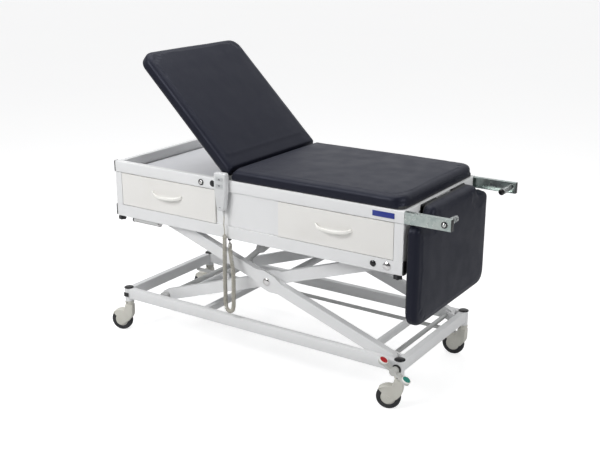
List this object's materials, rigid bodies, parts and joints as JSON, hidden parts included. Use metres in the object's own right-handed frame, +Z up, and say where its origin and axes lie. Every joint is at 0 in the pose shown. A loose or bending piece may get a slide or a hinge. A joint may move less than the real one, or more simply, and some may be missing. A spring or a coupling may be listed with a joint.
{
  "type": "examination table with drawers",
  "caption": "Height-adjustable examination table on casters with a scissor lift, a hinged back, a hanging leg section, a tray and front drawers.",
  "frame": {"origin": "on the floor, under the middle of the table's overall box, cords left out", "axes": "+X toward the foot end where the leg section hangs, +Y away from the drawers, +Z up"},
  "size_m": [1.7028, 0.6964, 1.3079],
  "materials": {
    "coat": "satin white powder coat",
    "front": "satin warm white lacquer",
    "pad": "dark charcoal blue leatherette with a fine grain",
    "board": "dark painted plywood",
    "zinc": "zinc plated, slightly green",
    "chrome": "polished chrome",
    "steel": "plain steel, satin",
    "cream": "moulded cream-grey plastic",
    "tyre": "dark grey rubber tread",
    "black": "black moulded plastic",
    "grey": "light grey",
    "handset": "light grey moulded plastic",
    "cord": "beige-grey flexible jacket",
    "red": "red moulded plastic",
    "green": "blue-green moulded plastic"
  },
  "bodies": {
    "base": {"base_rail_near": "coat", "base_rail_far": "coat", "base_end_head": "coat", "base_end_foot": "coat", "base_middle_rail": "coat"},
    "brake_pedal": {"brake_pedal": "steel", "pedal_pad_red": "red", "pedal_pad_green": "green"},
    "brake_shaft_head": {"brake_cam_shaft_head": "steel"},
    "brake_link": {"brake_link_bar": "steel"},
    "outer_arms": {"outer_arms": "coat", "centre_pivot_near": "chrome", "centre_pivot_far": "chrome"},
    "upper_rollers": {"upper_roller_axle": "grey"},
    "inner_arms": {"inner_arms": "coat"},
    "lower_rollers": {"lower_roller_axle": "grey"},
    "box": {"top_rail_near": "coat", "top_rail_far": "coat", "bottom_rail_near": "coat", "bottom_rail_far": "coat", "box_end_head": "coat", "box_end_foot": "coat", "drawer_housing": "coat", "lift_beam": "coat", "tray_deck": "grey", "upper_pivot_shaft": "chrome", "catch_bolt": "chrome", "seat_board": "board", "seat_cushion": "pad", "handset_body": "handset", "cord_lead": "cord", "cord_curl": "cord"},
    "actuator_tube": {"actuator_tube": "grey"},
    "actuator_rod": {"actuator_rod": "steel"},
    "drawer_head": {"drawer_head_front": "front", "drawer_head_tray": "steel", "drawer_head_handle": "front"},
    "drawer_foot": {"drawer_foot_front": "front", "drawer_foot_tray": "steel", "drawer_foot_handle": "front"},
    "back": {"back_board": "board", "back_cushion": "pad"},
    "pawl": {"back_pawl": "steel"},
    "leg": {"leg_board": "board", "leg_cushion": "pad"},
    "bar_near": {"bar_near": "zinc"},
    "bar_far": {"bar_far": "zinc"},
    "button_up": {"button_up": "grey"},
    "button_down": {"button_down": "grey"},
    "knob_head": {"knob_head": "black"},
    "knob_foot": {"knob_foot": "black"},
    "caster_near_head": {"caster_housing_near_head": "cream"},
    "wheel_near_head": {"caster_wheel_near_head": "tyre"},
    "caster_far_head": {"caster_housing_far_head": "cream"},
    "wheel_far_head": {"caster_wheel_far_head": "tyre"},
    "caster_near_foot": {"caster_housing_near_foot": "cream"},
    "wheel_near_foot": {"caster_wheel_near_foot": "tyre"},
    "caster_far_foot": {"caster_housing_far_foot": "cream"},
    "wheel_far_foot": {"caster_wheel_far_foot": "tyre"}
  },
  "joints": [
    {"name": "lift", "type": "hinge", "parent": "base", "child": "outer_arms", "pos_m": [0.59938, 0.01735, 0.198], "axis": [0, 1, 0], "range_deg": [-10, 1.95]},
    {"name": "arms_cross", "type": "hinge", "parent": "outer_arms", "child": "inner_arms", "pos_m": [0.01338, 0.01735, 0.39575], "axis": [0, 1, 0], "range_deg": [-4, 20.5]},
    {"name": "box_level", "type": "hinge", "parent": "inner_arms", "child": "box", "pos_m": [0.59938, 0.01735, 0.5935], "axis": [0, 1, 0], "range_deg": [-10.5, 2.2]},
    {"name": "upper_roller_spin", "type": "hinge", "parent": "outer_arms", "child": "upper_rollers", "pos_m": [-0.57262, 0.01735, 0.5935], "axis": [0, 1, 0], "continuous": true},
    {"name": "lower_roller_spin", "type": "hinge", "parent": "inner_arms", "child": "lower_rollers", "pos_m": [-0.57262, 0.01735, 0.198], "axis": [0, 1, 0], "continuous": true},
    {"name": "actuator_swing", "type": "hinge", "parent": "box", "child": "actuator_tube", "pos_m": [-0.06662, 0.01735, 0.558], "axis": [0, -1, 0], "range_deg": [-24, 5]},
    {"name": "actuator_stroke", "type": "slide", "parent": "actuator_tube", "child": "actuator_rod", "axis": [-0.7399, 0, -0.6727], "range_m": [-0.058, 0.012]},
    {"name": "brake_pedal_turn", "type": "hinge", "parent": "base", "child": "brake_pedal", "pos_m": [0.65638, 0.01735, 0.181], "axis": [0, 1, 0], "range_deg": [-18, 18]},
    {"name": "brake_shaft_turn", "type": "hinge", "parent": "base", "child": "brake_shaft_head", "pos_m": [-0.76162, 0.01735, 0.181], "axis": [0, 1, 0], "range_deg": [-18.5, 18.5]},
    {"name": "brake_link_slide", "type": "slide", "parent": "base", "child": "brake_link", "axis": [1, 0, 0], "range_m": [-0.0098, 0.0098]},
    {"name": "drawer_head_slide", "type": "slide", "parent": "box", "child": "drawer_head", "axis": [0, -1, 0], "range_m": [0, 0.35]},
    {"name": "drawer_foot_slide", "type": "slide", "parent": "box", "child": "drawer_foot", "axis": [0, -1, 0], "range_m": [0, 0.35]},
    {"name": "back_tilt", "type": "hinge", "parent": "box", "child": "back", "pos_m": [-0.15162, 0.01735, 0.8283], "axis": [0, 1, 0], "range_deg": [-44.5, 15.5]},
    {"name": "pawl_release", "type": "hinge", "parent": "box", "child": "pawl", "pos_m": [-0.29162, 0.01735, 0.792], "axis": [0, 1, 0], "range_deg": [0, 4], "stiffness_Nm_per_rad": 2},
    {"name": "leg_swing", "type": "hinge", "parent": "box", "child": "leg", "pos_m": [0.67138, 0.01735, 0.812], "axis": [0, -1, 0], "range_deg": [0, 5]},
    {"name": "bar_near_slide", "type": "slide", "parent": "box", "child": "bar_near", "axis": [1, 0, 0], "range_m": [-0.146, 0]},
    {"name": "bar_far_slide", "type": "slide", "parent": "box", "child": "bar_far", "axis": [1, 0, 0], "range_m": [-0.146, 0]},
    {"name": "button_up_press", "type": "slide", "parent": "box", "child": "button_up", "axis": [0, 1, 0], "range_m": [0, 0.0015], "stiffness_N_per_m": 300},
    {"name": "button_down_press", "type": "slide", "parent": "box", "child": "button_down", "axis": [0, 1, 0], "range_m": [0, 0.0015], "stiffness_N_per_m": 300},
    {"name": "knob_head_turn", "type": "hinge", "parent": "box", "child": "knob_head", "pos_m": [-0.76862, -0.28965, 0.55], "axis": [0, 0, 1], "continuous": true},
    {"name": "knob_foot_turn", "type": "hinge", "parent": "box", "child": "knob_foot", "pos_m": [0.63938, -0.28965, 0.55], "axis": [0, 0, 1], "continuous": true},
    {"name": "swivel_near_head", "type": "hinge", "parent": "base", "child": "caster_near_head", "pos_m": [-0.76162, -0.28265, 0.14], "axis": [0, 0, 1], "continuous": true},
    {"name": "roll_near_head", "type": "hinge", "parent": "caster_near_head", "child": "wheel_near_head", "pos_m": [-0.79932, -0.296, 0.05], "axis": [-0.3338, 0.9426, 0], "continuous": true},
    {"name": "swivel_far_head", "type": "hinge", "parent": "base", "child": "caster_far_head", "pos_m": [-0.76162, 0.31735, 0.14], "axis": [0, 0, 1], "continuous": true},
    {"name": "roll_far_head", "type": "hinge", "parent": "caster_far_head", "child": "wheel_far_head", "pos_m": [-0.80101, 0.3104, 0.05], "axis": [-0.1736, 0.9848, 0], "continuous": true},
    {"name": "swivel_near_foot", "type": "hinge", "parent": "base", "child": "caster_near_foot", "pos_m": [0.65638, -0.28265, 0.14], "axis": [0, 0, 1], "continuous": true},
    {"name": "roll_near_foot", "type": "hinge", "parent": "caster_near_foot", "child": "wheel_near_foot", "pos_m": [0.61823, -0.29468, 0.05], "axis": [-0.3007, 0.9537, 0], "continuous": true},
    {"name": "swivel_far_foot", "type": "hinge", "parent": "base", "child": "caster_far_foot", "pos_m": [0.65638, 0.31735, 0.14], "axis": [0, 0, 1], "continuous": true},
    {"name": "roll_far_foot", "type": "hinge", "parent": "caster_far_foot", "child": "wheel_far_foot", "pos_m": [0.6164, 0.31595, 0.05], "axis": [-0.0349, 0.9994, 0], "continuous": true}
  ],
  "couplings": [
    {"joint": "arms_cross", "follows": "lift", "ratio": -2},
    {"joint": "box_level", "follows": "lift", "ratio": 1},
    {"joint": "actuator_swing", "follows": "lift", "ratio": 2.355},
    {"joint": "actuator_stroke", "follows": "lift", "m_per_rad": 0.328},
    {"joint": "brake_shaft_turn", "follows": "brake_pedal_turn", "ratio": 1},
    {"joint": "brake_link_slide", "follows": "brake_pedal_turn", "m_per_rad": -0.031}
  ]
}
